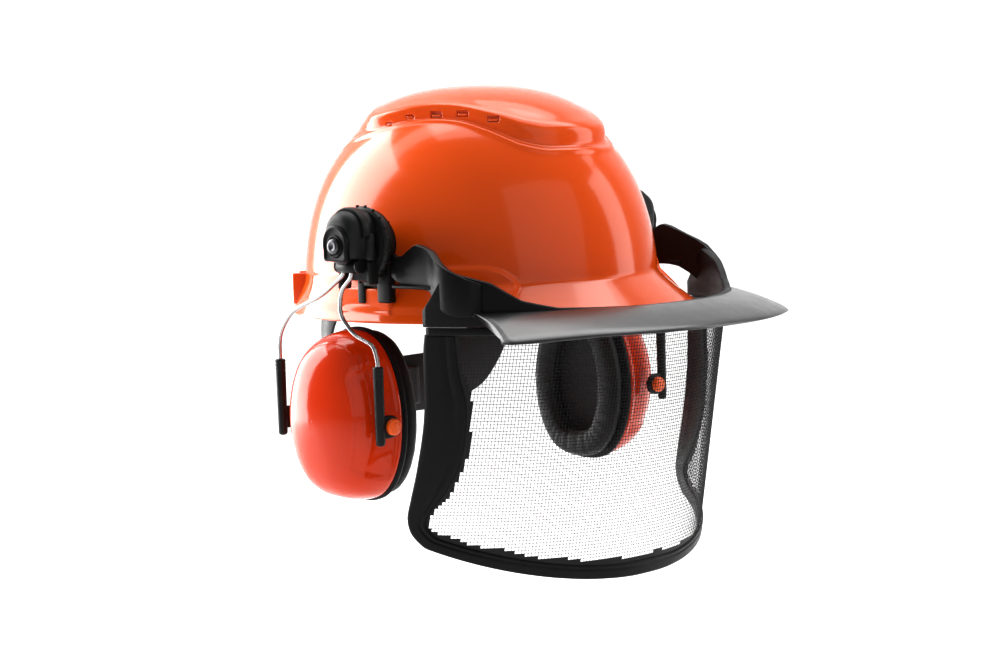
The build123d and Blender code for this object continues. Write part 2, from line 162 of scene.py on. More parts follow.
# ------------------------------------------------------------------ mesh tools (millimetres in, metres out)
def piece(name, verts, faces, slot_name, body, replaces=(), mat=None, smooth=True, bevel=0.0, segments=3,
          subsurf=0, angle=40.0):
    me = bpy.data.meshes.new(name)
    me.from_pydata([tuple(float(c) * MM for c in v) for v in verts], [], [tuple(f) for f in faces])
    me.validate()
    bm = bmesh.new()
    bm.from_mesh(me)
    bmesh.ops.remove_doubles(bm, verts=bm.verts, dist=1e-7)
    bmesh.ops.recalc_face_normals(bm, faces=bm.faces)
    bm.to_mesh(me)
    bm.free()
    ob = bpy.data.objects.new(name, me)
    bpy.context.scene.collection.objects.link(ob)
    if smooth:
        me.shade_smooth()
    dress(ob, slot_name, mat)
    if bevel:
        mod = ob.modifiers.new("bevel", "BEVEL")
        mod.width = bevel * MM
        mod.segments = segments
        mod.limit_method = "ANGLE"
        mod.angle_limit = math.radians(angle)
        mod.harden_normals = True
    if subsurf:
        mod = ob.modifiers.new("subsurf", "SUBSURF")
        mod.levels = mod.render_levels = subsurf
    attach(ob, body)
    if replaces:
        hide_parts(*replaces)
    return ob


def grid_faces(rows, cols, wrap=True, offset=0, close_rows=False):
    f = []
    for j in range(rows if close_rows else rows - 1):
        for i in range(cols if wrap else cols - 1):
            a, b = offset + j * cols + i, offset + j * cols + (i + 1) % cols
            k = (j + 1) % rows
            f.append((a, b, offset + k * cols + (i + 1) % cols, offset + k * cols + i))
    return f


def loft(loops, cap=True):
    """Closed loops joined in order, the two ends filled."""
    loops = [np.asarray(q, float) for q in loops]
    n = len(loops[0])
    verts = np.concatenate(loops)
    faces = grid_faces(len(loops), n)
    if cap:
        faces += [tuple(range(n))[::-1], tuple(range(len(verts) - n, len(verts)))]
    return verts, faces


def join(*parts):
    verts, faces, k = [], [], 0
    for v, f in parts:
        verts.append(np.asarray(v, float))
        faces += [tuple(i + k for i in q) for q in f]
        k += len(v)
    return np.concatenate(verts), faces


def smooth_path(points, per=10, closed=False):
    """Catmull-Rom through the points."""
    p = np.asarray(points, float)
    if closed:
        p = np.concatenate([p[-1:], p, p[:2]])
    else:
        p = np.concatenate([2 * p[:1] - p[1:2], p, 2 * p[-1:] - p[-2:-1]])
    t = np.linspace(0, 1, per, endpoint=False)[:, None]
    out = []
    for a, b, c, d in zip(p[:-3], p[1:-2], p[2:-1], p[3:]):
        out.append(0.5 * ((2 * b) + (c - a) * t + (2 * a - 5 * b + 4 * c - d) * t ** 2
                          + (3 * b - a - 3 * c + d) * t ** 3))
    out = np.concatenate(out)
    return out if closed else np.concatenate([out, p[-2:-1]])


def resample(p, n):
    p = np.asarray(p, float)
    s = np.concatenate([[0], np.cumsum(np.linalg.norm(np.diff(p, axis=0), axis=1))])
    t = np.linspace(0, s[-1], n)
    return np.stack([np.interp(t, s, p[:, k]) for k in range(p.shape[1])], 1)


def tube(path, radius, sides=16):
    """A round bar along a path, radius a number or one value per point."""
    p = np.asarray(path, float)
    r = np.broadcast_to(np.asarray(radius, float), (len(p),))
    t = np.gradient(p, axis=0)
    t /= np.linalg.norm(t, axis=1)[:, None]
    ref = np.array([1.0, 0, 0]) if abs(t[0][0]) < 0.9 else np.array([0, 1.0, 0])
    a = np.linspace(0, 2 * np.pi, sides, endpoint=False)
    loops = []
    for q, d, rr in zip(p, t, r):
        ref = ref - d * (ref @ d)
        ref /= np.linalg.norm(ref)
        w = np.cross(d, ref)
        loops.append(q + rr * (np.cos(a)[:, None] * ref + np.sin(a)[:, None] * w))
    return loft(loops)


def lathe(profile, centre, axis="x", segments=64, sign=1):
    """Profile of (radius, distance along the axis) turned about an axis through centre."""
    a = np.linspace(0, 2 * np.pi, segments, endpoint=False)
    loops = []
    for r, h in profile:
        r = max(r, 1e-3)
        c, s = r * np.cos(a), r * np.sin(a)
        if axis == "x":
            q = np.stack([np.full_like(a, sign * h), c, s], 1)
        elif axis == "y":
            q = np.stack([c, np.full_like(a, sign * h), s], 1)
        else:
            q = np.stack([c, s, np.full_like(a, sign * h)], 1)
        loops.append(q + np.asarray(centre, float))
    return loft(loops)


def rrect(o0, o1, z0, z1, r, n=4):
    """Rounded rectangle as a loop of (across, up)."""
    r = min(r, abs(o1 - o0) / 2.01, abs(z1 - z0) / 2.01)
    pts = []
    for cx, cz, a0 in ((o1 - r, z1 - r, 0), (o0 + r, z1 - r, 90), (o0 + r, z0 + r, 180),
                       (o1 - r, z0 + r, 270)):
        for k in range(n + 1):
            a = math.radians(a0 + 90 * k / n)
            pts.append((cx + r * math.cos(a), cz + r * math.sin(a)))
    return np.array(pts)


def band(plan, normals, sections):
    """Sections of (outward, up) set square to a plan path."""
    loops = []
    for p, n, s in zip(plan, normals, sections):
        loops.append(np.stack([p[0] + n[0] * s[:, 0], p[1] + n[1] * s[:, 0], s[:, 1]], 1))
    return loft(loops)


def plan_normals(plan, outward_from):
    t = np.gradient(plan, axis=0)
    n = np.stack([t[:, 1], -t[:, 0]], 1)
    n /= np.linalg.norm(n, axis=1)[:, None]
    flip = np.sign(np.sum(n * (plan - np.asarray(outward_from)), axis=1))
    return n * flip[:, None]


def smoothstep(x):
    x = np.clip(x, 0, 1)
    return x * x * (3 - 2 * x)


# ------------------------------------------------------------------ shell
HW, HL, HH, POWER = 97.5, 122.0, 131.0, 2.5
CREST = [(0, -94), (14, -92.5), (27, -87.5), (36, -79.5), (41, -71), (45.5, -56), (49, -38), (54, -16),
         (58.5, 4), (60, 22), (57.5, 42), (51, 62), (41, 79), (26, 92), (10, 98.5)]
crest_line = smooth_path(CREST + [(0, 99.5)] + [(-x, y) for x, y in reversed(CREST[1:])], 8, closed=True)


def inside_distance(xy, poly):
    """Signed distance to a closed outline, positive inside."""
    a, b = poly, np.roll(poly, -1, axis=0)
    d = np.full(len(xy), 1e9)
    inside = np.zeros(len(xy), bool)
    for p, q in zip(a, b):
        e = q - p
        w = xy - p
        t = np.clip((w @ e) / (e @ e), 0, 1)
        d = np.minimum(d, np.linalg.norm(w - t[:, None] * e, axis=1))
        cross = (p[1] > xy[:, 1]) != (q[1] > xy[:, 1])
        x = (q[0] - p[0]) * (xy[:, 1] - p[1]) / (q[1] - p[1] + 1e-12) + p[0]
        inside ^= cross & (xy[:, 0] < x)
    return np.where(inside, d, -d)


def shell_surface(nu, nv, inset):
    """Rings of points from the top of the dome down to the brim's edge, inset from the outside."""
    th = np.linspace(0, 2 * np.pi, nu, endpoint=False)
    hw, hl, hh = HW - inset, HL - inset, HH - inset
    phi = np.linspace(0, np.pi / 2, 240)
    k = np.sin(phi) ** (2 / POWER)
    z = hh * np.cos(phi) ** (2 / POWER)
    rings = []
    front = 0.5 + 0.5 * np.cos(th)
    cols = []
    for i, a in enumerate(th):
        f = front[i]
        foot = 19.0 + 3.0 * f ** 3
        keep = z > foot
        x = hw * k[keep] * math.sin(a)
        y = -hl * k[keep] * math.cos(a)
        dome = np.stack([x, y, z[keep]], 1)
        edge_z = 0.0 + 2.6 * f ** 4
        w, ln = 109.0 - inset, 141.0 - inset
        edge = np.array([w * math.sin(a), -10 - ln * math.cos(a), edge_z])
        kf = (1 - (foot / hh) ** POWER) ** (1 / POWER)
        start = np.array([hw * kf * math.sin(a), -hl * kf * math.cos(a), foot])
        mid = (start + edge) / 2 + np.array([0, 0, -0.9])
        t = np.linspace(0, 1, 40)[1:, None]
        skirt = (1 - t) ** 2 * start + 2 * t * (1 - t) * mid + t ** 2 * edge
        line = np.concatenate([dome, skirt])
        line = resample(line, nv * 3)
        s = 7.0 - 4.5 * f ** 3
        step = np.linalg.norm(line[1] - line[0])
        m = max(1, int(s / step))
        ker = np.hanning(2 * m + 1)
        ker /= ker.sum()
        pad = np.concatenate([2 * line[:1] - line[1:m + 1][::-1], line,
                              2 * line[-1:] - line[-m - 1:-1][::-1]])
        line = np.stack([np.convolve(pad[:, c], ker, mode="valid") for c in range(3)], 1)
        cols.append(resample(line, nv))
    P = np.stack(cols, 1)                      # rings, around, xyz
    P[0, :, 0] = 0
    P[0, :, 1] = 0
    P[0, :, 2] = hh
    return P


def surface_normals(P):
    du = np.roll(P, -1, axis=1) - np.roll(P, 1, axis=1)
    dv = np.gradient(P, axis=0)
    n = np.cross(dv, du)
    n /= np.linalg.norm(n, axis=2)[..., None] + 1e-9
    n[0] = (0, 0, 1)
    out = np.sum(n * P, axis=2)
    n[out < 0] *= -1
    return n


def raise_details(P, rise, edge, grow):
    """Lift the crest, its lip and the low side pads out of the plain dome."""
    n = surface_normals(P)
    flat = P.reshape(-1, 3)
    d = inside_distance(flat[:, :2], crest_line) - grow
    d[flat[:, 2] < 60] = -50
    width = 5.0 + 3.0 * smoothstep((-flat[:, 1] - 40) / 40) + 34.0 * smoothstep((flat[:, 1] - 22) / 60)
    edge_here = edge * (1 - smoothstep((flat[:, 1] - 40) / 45))
    h = rise * smoothstep(d / width)
    h += edge_here * 0.9 * np.exp(-((d + 1.2) / 1.6) ** 2)             # light bead along the foot of the wall
    h -= edge_here * 0.9 * np.exp(-((d - width * 0.32) / 1.5) ** 2)    # hollow at the foot
    h += edge_here * 0.5 * np.exp(-((d - width * 1.25) / 3.0) ** 2)    # rolled top edge
    y, z = flat[:, 1], flat[:, 2]
    arc = np.interp(y, [-101, -97, -93, -88, -80, -64, -40, 10, 60], [12, 19, 25.5, 30, 33, 33, 31, 29, 26])
    pad = (smoothstep((arc - z) / 3.4) * smoothstep((z - 4) / 5)
           * smoothstep((y + 101) / 6) * smoothstep((62 - y) / 8))
    pad[np.abs(flat[:, 0]) < 40] = 0
    h += edge * 1.7 * pad
    return P + n * h.reshape(P.shape[:2])[..., None]


NU, NV = ((560, 230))
outer = raise_details(shell_surface(NU, NV, 0), 6.0, 1.0, 0.0)
inner = raise_details(shell_surface(NU, NV // 2, 2.6), 5.6, 0.0, 2.2)
# rolled edge of the brim between the two skins
lip = []
o_edge, i_edge = outer[-1], inner[-1]
drop = o_edge - outer[-2]
drop /= np.linalg.norm(drop, axis=1)[:, None]
for t in (0.2, 0.4, 0.6, 0.8):
    c = (1 - t) * o_edge + t * i_edge
    lip.append(c + drop * 1.1 * math.sin(math.pi * t))
rows = np.concatenate([outer[1:], np.array(lip), inner[1:][::-1]])
verts = np.concatenate([outer[:1, 0], rows.reshape(-1, 3), inner[:1, 0]])
faces = [(0, 1 + (i + 1) % NU, 1 + i) for i in range(NU)]
faces += grid_faces(len(rows), NU, True, 1)
last = len(verts) - 1
faces += [(last, last - NU + i, last - NU + (i + 1) % NU) for i in range(NU)]
shell = piece("shell_body", verts, faces, "shell_orange", "helmet", ["shell"])


def rounded_box(size, centre, r=1.0, turn=(0, 0, 0), seg=3):
    """A bevelled box as (verts, faces)."""
    bm = bmesh.new()
    bmesh.ops.create_cube(bm, size=1)
    bmesh.ops.scale(bm, vec=Vector(size), verts=bm.verts)
    bmesh.ops.bevel(bm, geom=list(bm.edges), offset=r, segments=seg, affect="EDGES", profile=0.5)
    e = Matrix.Rotation(math.radians(turn[2]), 3, "Z") @ Matrix.Rotation(math.radians(turn[1]), 3, "Y") \
        @ Matrix.Rotation(math.radians(turn[0]), 3, "X")
    v = np.array([tuple(e @ q.co + Vector(centre)) for q in bm.verts])
    f = [tuple(q.index for q in face.verts) for face in bm.faces]
    bm.free()
    return v, f


def cut(obj, tool, name):
    me = bpy.data.meshes.new(name)
    me.from_pydata([tuple(float(c) * MM for c in v) for v in tool[0]], [], tool[1])
    ob = bpy.data.objects.new(name, me)
    bpy.context.scene.collection.objects.link(ob)
    mod = obj.modifiers.new(name, "BOOLEAN")
    mod.operation = "DIFFERENCE"
    mod.object = ob
    try:
        mod.solver = "MANIFOLD"
    except TypeError:
        mod.solver = "EXACT"
    bpy.context.view_layer.update()
    dg = bpy.context.evaluated_depsgraph_get()
    new = bpy.data.meshes.new_from_object(obj.evaluated_get(dg))
    obj.modifiers.remove(mod)
    obj.data = new
    bpy.data.objects.remove(ob)


# vents along both crest walls: a shallow recess with a slit through its floor
vents = []
for s in (-1, 1):
    for x, y, z, yaw, ln, hi in ((58.7, 13.5, 115.0, 0, 5.0, 1.8), (56.2, -2.6, 119.0, -8, 6.0, 2.2),
                                 (51.9, -21.0, 119.8, -12, 8.4, 4.2), (47.9, -39.3, 119.8, -12, 8.8, 3.8),
                                 (42.6, -60.0, 116.0, -20, 8.0, 3.8)):
        c, sn = math.cos(math.radians(yaw)), math.sin(math.radians(yaw))
        deep = 2.4 if hi > 3 else 1.6
        vents.append(rounded_box((12, ln, hi), (s * (x + (6 - deep) * c), y + (6 - deep) * sn, z), 0.7,
                                 (0, 0, s * yaw)))
        vents.append(rounded_box((20, ln * 0.72, 1.3), (s * (x - 9 * c), y - 9 * sn, z - hi * 0.18), 0.4,
                                 (0, 0, s * yaw)))
cut(shell, join(*vents), "vent_tool")
for p in shell.data.polygons:
    p.use_smooth = True

# low pockets that the adapters hook into, and the lugs at the back corners
for side, s in SIDES.items():
    body = rounded_box((9.5, 46, 16.5), (s * 99.9, -9, 11.4), 1.6)
    ledge = rounded_box((6.0, 47, 3.4), (s * 102.6, -9, 4.9), 1.4)
    boss = piece(f"slot_boss_{side}", *join(body, ledge), "shell_orange", "helmet")
    pocket = rounded_box((3.6, 21, 15), (s * 101.3, -20, 15.4), 0.5)
    cut(boss, pocket, "pocket_tool")
    for p in boss.data.polygons:
        p.use_smooth = True
    mod = boss.modifiers.new("n", "WEIGHTED_NORMAL")
    lug_parts = []
    for dy, dx, size in ((-10, 1.2, (10, 4.4, 19)), (10, 1.2, (10, 4.4, 19)), (0, 1.2, (10, 24, 3.6))):
        z = 14.2 if size[2] > 10 else 6.0
        px, py = s * (62.5 + dx), 93.5
        nx, ny = s * math.cos(math.radians(52)), math.sin(math.radians(52))
        lug_parts.append(rounded_box(size, (px - ny * dy * s, py + nx * dy * s, z), 1.3,
                                     (0, 0, math.degrees(math.atan2(ny, nx)))))
    piece(f"rear_lug_{side}", *join(*lug_parts), "shell_orange", "helmet")

# ------------------------------------------------------------------ ear muffs
CY, CZ, CW, CH = 3.0, -56.5, 39.5, 52.5
EGG = [(0, 1), (0.34, 0.955), (0.62, 0.81), (0.84, 0.55), (0.965, 0.22), (0.99, -0.08), (0.93, -0.40),
       (0.78, -0.68), (0.55, -0.885), (0.28, -0.978), (0, -1)]
EGG = EGG + [(-y, z) for y, z in EGG[-2:0:-1]]
egg_unit = resample(np.concatenate([smooth_path(EGG, 12, closed=True), [[0, 1]]]), 129)[:-1]
egg_out = np.stack([np.gradient(egg_unit[:, 1]), -np.gradient(egg_unit[:, 0])], 1)
egg_out[0] = (0, 1)
egg_out /= np.linalg.norm(egg_out, axis=1)[:, None]
egg_out *= np.sign(np.sum(egg_out * egg_unit, axis=1))[:, None]


def egg_loop(s, x, w, h, off=0.0):
    y = CY + egg_unit[:, 0] * w + egg_out[:, 0] * off
    z = CZ + egg_unit[:, 1] * h + egg_out[:, 1] * off
    return np.stack([np.full(len(y), s * x), y, z], 1)


def egg_ring(s, w, h, section):
    """A closed ring that follows the egg outline, its section given as (outward, x)."""
    loops = [egg_loop(s, x, w, h, o) for o, x in section]
    verts = np.concatenate(loops)
    return verts, grid_faces(len(loops), len(egg_unit), True, 0, True)


def soften(points, cut_at):
    """Round the corners of a bent bar's route."""
    p = [np.asarray(q, float) for q in points]
    out = [p[0]]
    for a, b, c, d in zip(p[:-2], p[1:-1], p[2:], cut_at):
        i, o = b + (a - b) / np.linalg.norm(a - b) * d, b + (c - b) / np.linalg.norm(c - b) * d
        for t in np.linspace(0, 1, 10):
            out.append((1 - t) ** 2 * i + 2 * t * (1 - t) * b + t ** 2 * o)
    out.append(p[-1])
    return np.array(out)


PX, PZ, WX, FY, RY = 116.2, -59.0, 123.6, -41.0, 47.0
HY, HZ = -20.0, 46.0
for side, s in SIDES.items():
    cup_body, yoke, arm, hub = f"cup_{side}", f"yoke_{side}", f"arm_{side}", f"arm_hub_{side}"
    # cup: a deep rounded egg with a flattened, hollowed flank front and back
    prof = smooth_path([(100.5, 0.958), (101.5, 0.972), (105, 0.972), (111, 0.955), (117.5, 0.922),
                        (124, 0.862), (129.3, 0.770), (133.2, 0.640), (136.0, 0.470), (137.7, 0.270),
                        (138.3, 0.10), (138.4, 0.0)], 5)
    loops = []
    for x, k in prof:
        k = max(k, 0.002)
        q = egg_loop(s, x, CW * k, (CH - 0.2) * k)
        z = q[:, 2]
        flank = (smoothstep((np.abs(egg_unit[:, 0]) - 0.74) / 0.07)
                 * smoothstep((z + 99) / 12) * smoothstep((-17 - z) / 12))
        flank *= smoothstep((131.2 - x) / 3.0) * smoothstep((x - 102.5) / 3.0)
        q[:, 1] -= np.sign(egg_unit[:, 0]) * 1.7 * flank
        loops.append(q)
    inner_loops = [egg_loop(s, x - 2.2, CW * k * 0.945, CH * k * 0.955) for x, k in prof[::-1] if x > 103]
    v, f = loft(loops + inner_loops + [egg_loop(s, 100.5, CW * 0.91, CH * 0.925)], cap=False)
    n = len(egg_unit)
    f += [(len(v) - n + i, len(v) - n + (i + 1) % n, (i + 1) % n, i) for i in range(n)]
    piece(f"cup_{side}_shell", v, f, "cup_orange", cup_body, [f"cup_shell_{side}"])
    # backplate with a moulded step on its rim
    sec = [(-14.5, 96.4), (-1.5, 96.4), (-0.6, 96.9), (-0.3, 97.8), (-0.3, 99.0), (-0.8, 99.6), (-1.4, 99.8),
           (-1.6, 100.3), (-4.5, 100.3), (-5.2, 101.6), (-6.5, 101.8), (-7.2, 100.6), (-14.2, 100.4),
           (-14.8, 98.5)]
    v, f = egg_ring(s, CW, CH, sec)
    piece(f"backplate_{side}_plate", v, f, "black_plastic", cup_body, [f"backplate_{side}"], bevel=0.3,
          segments=2)
    # cushion: stuffed vinyl ring, fuller between its welded seams, creased where it turns
    sec = []
    for a in np.linspace(0, 2 * np.pi, 44, endpoint=False):
        o, x = math.cos(a), math.sin(a)
        o = math.copysign(abs(o) ** 0.80, o) * 8.4
        x = math.copysign(abs(x) ** 0.74, x) * 5.75
        sec.append((o - 11.3, 90.2 - x))
    loops = []
    for j, (o, x) in enumerate(sec):
        q = egg_loop(s, x, CW, CH, o)
        u = np.arange(len(q)) / len(q) * 2 * np.pi
        face = smoothstep((92 - x) / 5)
        ruck = (np.sin(u * 31 + 1.7 * np.sin(u * 5)) * 0.16 + np.sin(u * 53 + 2 * np.sin(u * 3 + 1)) * 0.10
                + np.sin(u * 2 + 0.6) * 0.12) * face
        weld = (-0.9 * math.exp(-((o + 3.6) / 0.55) ** 2) * (x < 92)
                - 0.7 * math.exp(-((o + 18.4) / 0.6) ** 2) * (x < 92))
        q[:, 0] -= s * (ruck * (1 if o < -6 else 0.5) + weld) * 1.0
        loops.append(q)
    v = np.concatenate(loops)
    f = grid_faces(len(loops), len(egg_unit), True, 0, True)
    cushion = piece(f"cushion_{side}_ring", v, f, "cushion_black", cup_body, [f"cushion_{side}"], subsurf=1)
    # foam liner inside the cup, dished and open-celled
    loops = [egg_loop(s, 110, 29, 40, 0), egg_loop(s, 103.5, 29.4, 40.4, 0), egg_loop(s, 101.6, 28.2, 39, 0),
             egg_loop(s, 101.3, 25, 35, 0), egg_loop(s, 101.9, 17, 25, 0), egg_loop(s, 102.5, 8, 12, 0),
             egg_loop(s, 102.6, 1, 1.5, 0)]
    v, f = loft(loops)
    foam = piece(f"cup_foam_{side}_pad", v, f, "foam_grey", cup_body, [f"cup_foam_{side}"], subsurf=1)
    # spring wires
    front = soften([(s * WX, -22, 33), (s * WX, -21, 27.5), (s * WX, -11, 19), (s * WX, -9.5, 5),
                    (s * WX, -21, -6), (s * WX, -38, -11.5), (s * WX, FY, -20), (s * WX, FY, -64)],
                   [2.5, 5, 6, 6, 4, 4])
    rear = soften([(s * WX, -15.5, 33), (s * WX, -14, 28.5), (s * WX, 6, 16), (s * WX, 35, 5.5),
                   (s * WX, RY, -9), (s * WX, RY, -64)], [2.5, 9, 8, 8])
    wires = piece(f"wires_{side}", *join(tube(front, 1.3, 20), tube(rear, 1.3, 20)), "wire_steel", arm,
                  [f"spring_wires_{side}"])
    # rubber sleeves: tapered, ribbed at the mouth, with the lug that holds the pivot button
    for end, y, out in (("front", FY, -1), ("rear", RY, 1)):
        zz = np.array([-23.5, -23.6, -24.2, -25.2, -25.8, -26.4, -27.4, -28.0, -28.6, -29.6, -30.2, -31, -45,
                       -60, -67.8, -69.0, -69.6, -69.8])
        rr = np.array([1.35, 2.7, 3.15, 3.2, 2.9, 3.15, 3.2, 2.9, 3.15, 3.15, 2.9, 3.05, 2.95, 2.85, 2.8,
                       2.45, 1.4, 0.05])
        tub = tube(np.stack([np.full(len(zz), s * WX), np.full(len(zz), y), zz], 1), rr, 28)
        a = np.linspace(0, 2 * np.pi, 40, endpoint=False)
        lug = []
        for t in a:
            ly, lz = math.cos(t) * 6.5, math.sin(t) * 6.6
            if ly > 0:
                ly = 6.5 * (abs(math.cos(t)) ** 0.5)
                lz = math.copysign(min(6.6, abs(lz) * 1.12), lz)
            lug.append((s * (PX + ly * 0.99), lz + PZ))
        lug = np.array(lug)
        rows = []
        for yy, k in ((y - 1.75, 0.93), (y - 1.3, 1.0), (y + 1.3, 1.0), (y + 1.75, 0.93)):
            c = np.array([s * PX, PZ])
            q = c + (lug - c) * k
            rows.append(np.stack([q[:, 0], np.full(len(q), yy), q[:, 1]], 1))
        piece(f"sleeve_{end}_{side}_grip", *join(tub, loft(rows)), "sleeve_black", yoke,
              [f"sleeve_{end}_{side}"])
        cap = lathe([(4.4, 1.85), (4.72, 2.05), (4.85, 2.6), (4.8, 4.3), (4.5, 4.95), (3.9, 5.3), (3.4, 5.38),
                     (3.25, 5.22), (3.1, 5.36), (1.5, 5.55), (0, 5.6)], (s * PX, y, PZ), "y", 48, out)
        pin = lathe([(1.85, 2.0), (1.85, -5.6), (0, -5.8)], (s * PX, y, PZ), "y", 24, out)
        name = f"button_{end}_{side}"
        piece(name, *join(cap, pin), "button_orange", yoke,
              [f"pivot_buttons_{side}"] if end == "front" else [])

    # ---- hub: adapter plate with hooks, pivot cap, rounded holder, faceplate and screw
    ad = [rounded_box((2.8, 20, 46), (s * 101.3, HY, 36), 0.9)]
    ad.append(rounded_box((3.4, 6.0, 34), (s * 104.2, -8.5, 27.5), 1.0))
    ad.append(rounded_box((5.6, 11.0, 30), (s * 105.2, -30.5, 26.5), 1.2))
    ad.append(rounded_box((5.0, 26, 4.0), (s * 103.2, HY, 22.6), 1.0))
    ad.append(lathe([(14.6, 99.9), (15, 100.3), (15, 102.4), (14.6, 102.8), (0, 102.8)], (0, HY, HZ), "x", 64,
                    s))
    ad.append(lathe([(5, 102), (5, 134.6), (4.6, 135), (0, 135)], (0, HY, HZ), "x", 40, s))
    piece(f"adapter_{side}_clip", *join(*ad), "black_plastic", "helmet", [f"adapter_{side}"])
    sp = lathe([(16.4, 103.1), (17, 103.5), (17, 105.0), (16.4, 105.4), (5.4, 105.4), (5.4, 103.1),
                (16.4, 103.1)],
               (0, HY, HZ), "x", 64, s)
    piece(f"hub_spacer_{side}_ring", *sp, "black_plastic", "helmet", [f"hub_spacer_{side}"], mat="hub_black")
    cap = lathe([(5.1, 111.3), (21.0, 111.3), (22.0, 111.8), (22.2, 112.6), (21.9, 113.6), (21.0, 114.3),
                 (19.6, 114.6), (18.9, 114.35), (18.3, 114.6), (16.0, 114.75), (5.1, 114.75), (5.1, 111.3)],
                (0, HY, HZ), "x", 96, s)
    ribs = []
    for k in range(20):
        a = math.radians(18 * k + 9)
        ribs.append(rounded_box((1.8, 2.4, 1.2),
                                (s * 113.1, HY + 21.9 * math.cos(a), HZ + 21.9 * math.sin(a)), 0.35,
                                (math.degrees(a), 0, 0), 2))
    piece(f"visor_hub_{side}_cap", *join(cap, *ribs), "black_plastic", "visor", [f"visor_hub_{side}"],
          mat="hub_black")
    outline = rrect(HY - 13.5, HY + 13.5, 33.6, 66.5, 12.4, 9)
    centre = np.array([HY, 50.0])
    loops = []
    for x, k in ((115.0, 0.96), (115.3, 1.0), (121.5, 1.0), (125.5, 0.985), (128.6, 0.945), (130.9, 0.87),
                 (132.4, 0.77), (133.1, 0.66), (133.3, 0.5), (133.3, 0.2)):
        q = centre + (outline - centre) * k
        loops.append(np.stack([np.full(len(q), s * x), q[:, 0], q[:, 1]], 1))
    holder = piece(f"arm_holder_{side}", *loft(loops), "black_plastic", hub, [f"arm_hub_{side}"],
                   mat="hub_black")
    cut(holder, rounded_box((12.2, 21.6, 12), (s * WX, HY, 33.0), 1.2), "slot_tool")
    for p in holder.data.polygons:
        p.use_smooth = True
    holder.modifiers.new("n", "WEIGHTED_NORMAL")
    # hood rim over the holder
    arc = []
    for t in np.linspace(-8, 188, 40):
        a = math.radians(t)
        arc.append((HY + 14.4 * math.cos(a), 52.4 + 14.8 * math.sin(a)))
    arc = np.array(arc)
    rows = []
    for (y, z), t in zip(arc, np.linspace(0, 1, len(arc))):
        c = np.array([y - HY, z - 52.4])
        c /= np.linalg.norm(c)
        sec = rrect(-0.9, 0.9, 119.5, 125.5, 0.8, 3)
        rows.append(np.stack([s * sec[:, 1], y + c[0] * sec[:, 0], z + c[1] * sec[:, 0]], 1))
    piece(f"holder_hood_{side}", *loft(rows), "black_plastic", hub)
    # cheeks that guide the wires below the holder, and a rounded latch on its flank
    cheeks = [rounded_box((8.5, 3.6, 17), (s * 117.6, HY + 11.0, 28.5), 1.2, (8, 0, 0)),
              rounded_box((7.0, 3.2, 14), (s * 117.0, HY - 11.6, 30.0), 1.2, (-6, 0, 0)),
              rounded_box((4.0, 22, 9), (s * 115.6, HY, 29.5), 1.0)]
    piece(f"holder_cheeks_{side}", *join(*cheeks), "black_plastic", hub, mat="hub_black")
    bar = lathe([(0, 37.0), (2.2, 37.2), (3.1, 38.4), (3.2, 40), (3.2, 50), (2.9, 51.6), (1.9, 52.7),
                 (0, 53.0)],
                (s * 119.0, HY - 12.9, 0), "z", 40, 1)
    piece(f"latch_barrel_{side}", *bar, "black_plastic", hub, mat="hub_black")
    # faceplate: arched top, flat foot, sunk round the screw
    a = np.linspace(math.radians(-18), math.radians(198), 40)
    face = ([(HY + 10.4 * math.cos(t), HZ + 1.2 + 11.0 * math.sin(t)) for t in a]
            + [(HY - 9.9, HZ - 7.6), (HY - 8.6, HZ - 8.8), (HY + 8.6, HZ - 8.8), (HY + 9.9, HZ - 7.6)])
    face = np.array(face)
    c = np.array([HY, HZ + 1.0])
    rows = [np.stack([np.full(len(face), s * x), *(c + (face - c) * k).T], 1)
            for x, k in ((132.0, 1.0), (134.4, 1.0), (135.1, 0.96), (135.3, 0.90), (135.3, 0.86),
                         (134.7, 0.82), (134.6, 0.6), (134.6, 0.4))]
    piece(f"hub_face_{side}", *loft(rows), "black_plastic", hub, [f"hub_badge_{side}"])
    ring = lathe([(5.4, 134.3), (6.4, 134.3), (6.6, 134.8), (6.2, 135.3), (5.6, 135.3), (5.4, 134.8),
                  (5.4, 134.3)],
                 (0, HY, HZ), "x", 48, s)
    piece(f"screw_collar_{side}", *ring, "black_plastic", hub)
    scr = lathe([(4.5, 135.2), (4.6, 135.5), (4.5, 136.3), (3.9, 136.9), (2.0, 137.2), (1.2, 136.2),
                 (0, 136.0)],
                (0, HY, HZ), "x", 40, s)
    piece(f"hub_screw_{side}_head", *scr, "screw_steel", "helmet", [f"hub_screw_{side}"])
    bar = lathe([(3.2, -10.2), (4.0, -9.9), (4.2, -9.2), (4.2, -8.4), (3.7, -8.1), (4.2, -7.8), (4.2, 7.8),
                 (3.7, 8.1), (4.2, 8.4), (4.2, 9.2), (4.0, 9.9), (3.2, 10.2), (0, 10.2)], (s * WX, HY, 34.0),
                "y", 36, 1)
    v, f = bar
    piece(f"arm_barrel_{side}", v, f, "black_plastic", arm, [f"arm_knuckle_{side}"])

# ------------------------------------------------------------------ visor
BY, BW, BL = -43.0, 122.0, 123.0
TOP_Z, LOW_Z = 12.0, -156.0
LR, LY = 130.0, -4.0


def visor_point(phi, z, inset=0.0):
    """A point of the visor's curved surface at an angle round the face and a height."""
    t = (TOP_Z - z) / (TOP_Z - LOW_Z)
    w = (1 - t) * BW + t * LR - inset
    l = (1 - t) * BL + t * LR - inset
    yc = (1 - t) * BY + t * LY
    return np.stack([w * np.sin(phi), yc - l * np.cos(phi), z + 0 * phi], -1)


def angle_at(y, z):
    t = (TOP_Z - z) / (TOP_Z - LOW_Z)
    l = (1 - t) * BL + t * LR
    yc = (1 - t) * BY + t * LY
    return np.arccos(np.clip((yc - y) / l, -1, 1))


